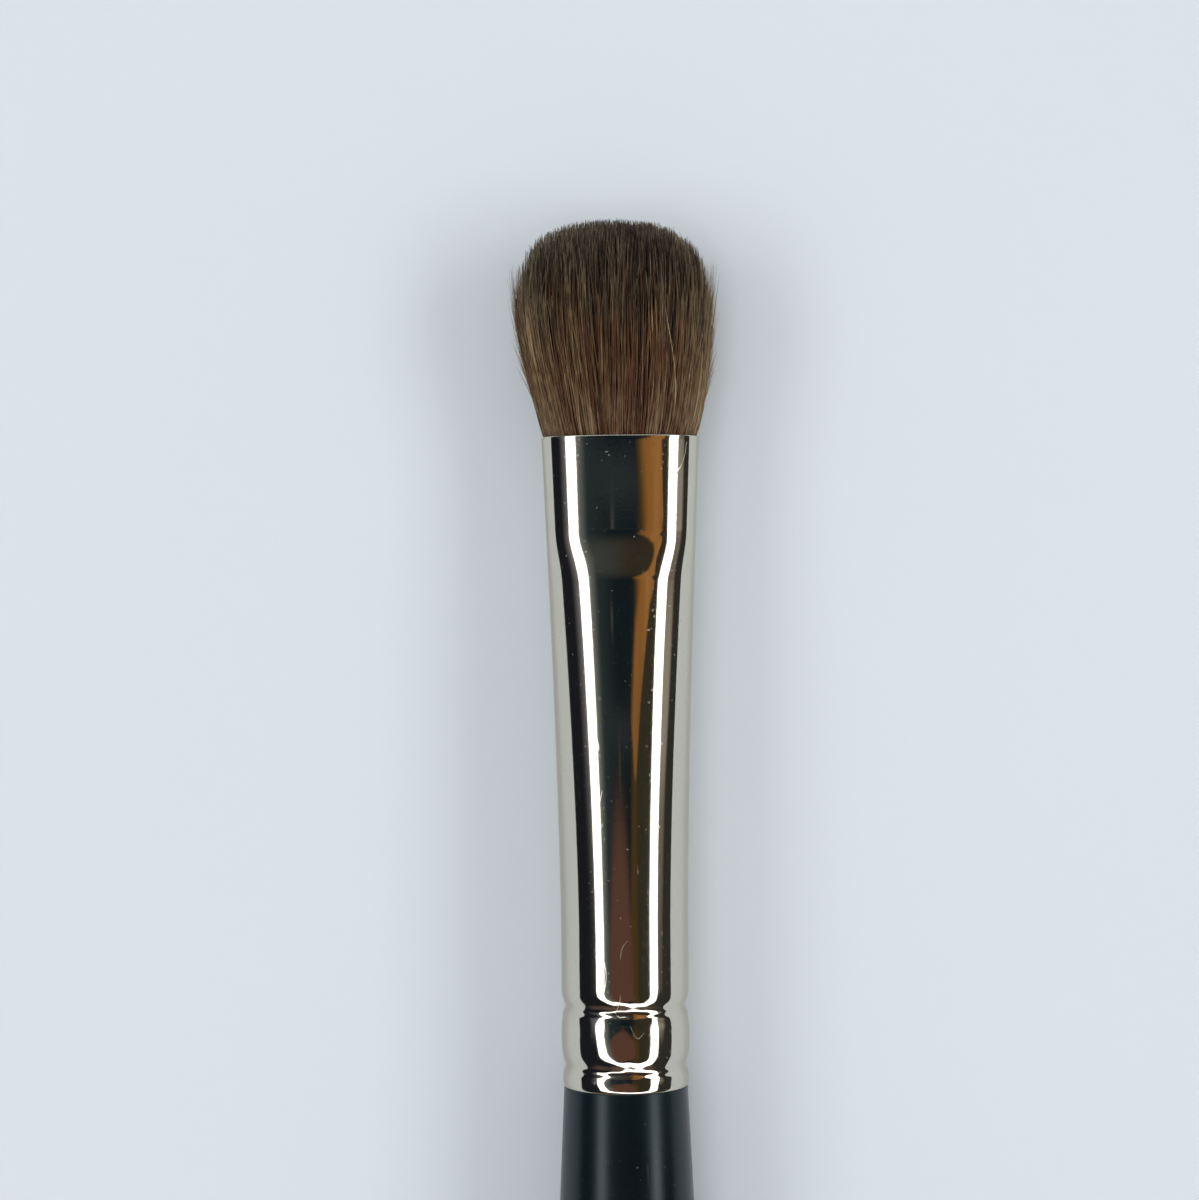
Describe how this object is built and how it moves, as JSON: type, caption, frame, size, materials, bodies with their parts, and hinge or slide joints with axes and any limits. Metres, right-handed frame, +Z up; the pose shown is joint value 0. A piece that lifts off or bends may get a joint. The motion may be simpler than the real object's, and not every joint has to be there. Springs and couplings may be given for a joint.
{
  "type": "eyeshadow brush",
  "caption": "Eyeshadow brush with a domed tuft of brown hair, a polished flattened ferrule with rolled grooves, and a slim tapered black handle.",
  "frame": {"origin": "middle of the brush's length and width, on the table that it lies on", "axes": "+Y runs along the brush toward the hair, +Z is up, square to the ferrule's pressed faces, and +X is to the right seen from above"},
  "size_m": [0.01, 0.1665, 0.008],
  "materials": {
    "hair": "satin",
    "nickel_plate": "polished",
    "lacquered_wood": "satin",
    "thread": "matte",
    "resin": "gloss",
    "glue": "satin"
  },
  "bodies": {
    "root": {"hair_head": "hair", "ferrule": "nickel_plate", "handle": "lacquered_wood", "root_tie": "thread", "resin_plug": "resin", "tenon_glue": "glue"}
  },
  "joints": []
}
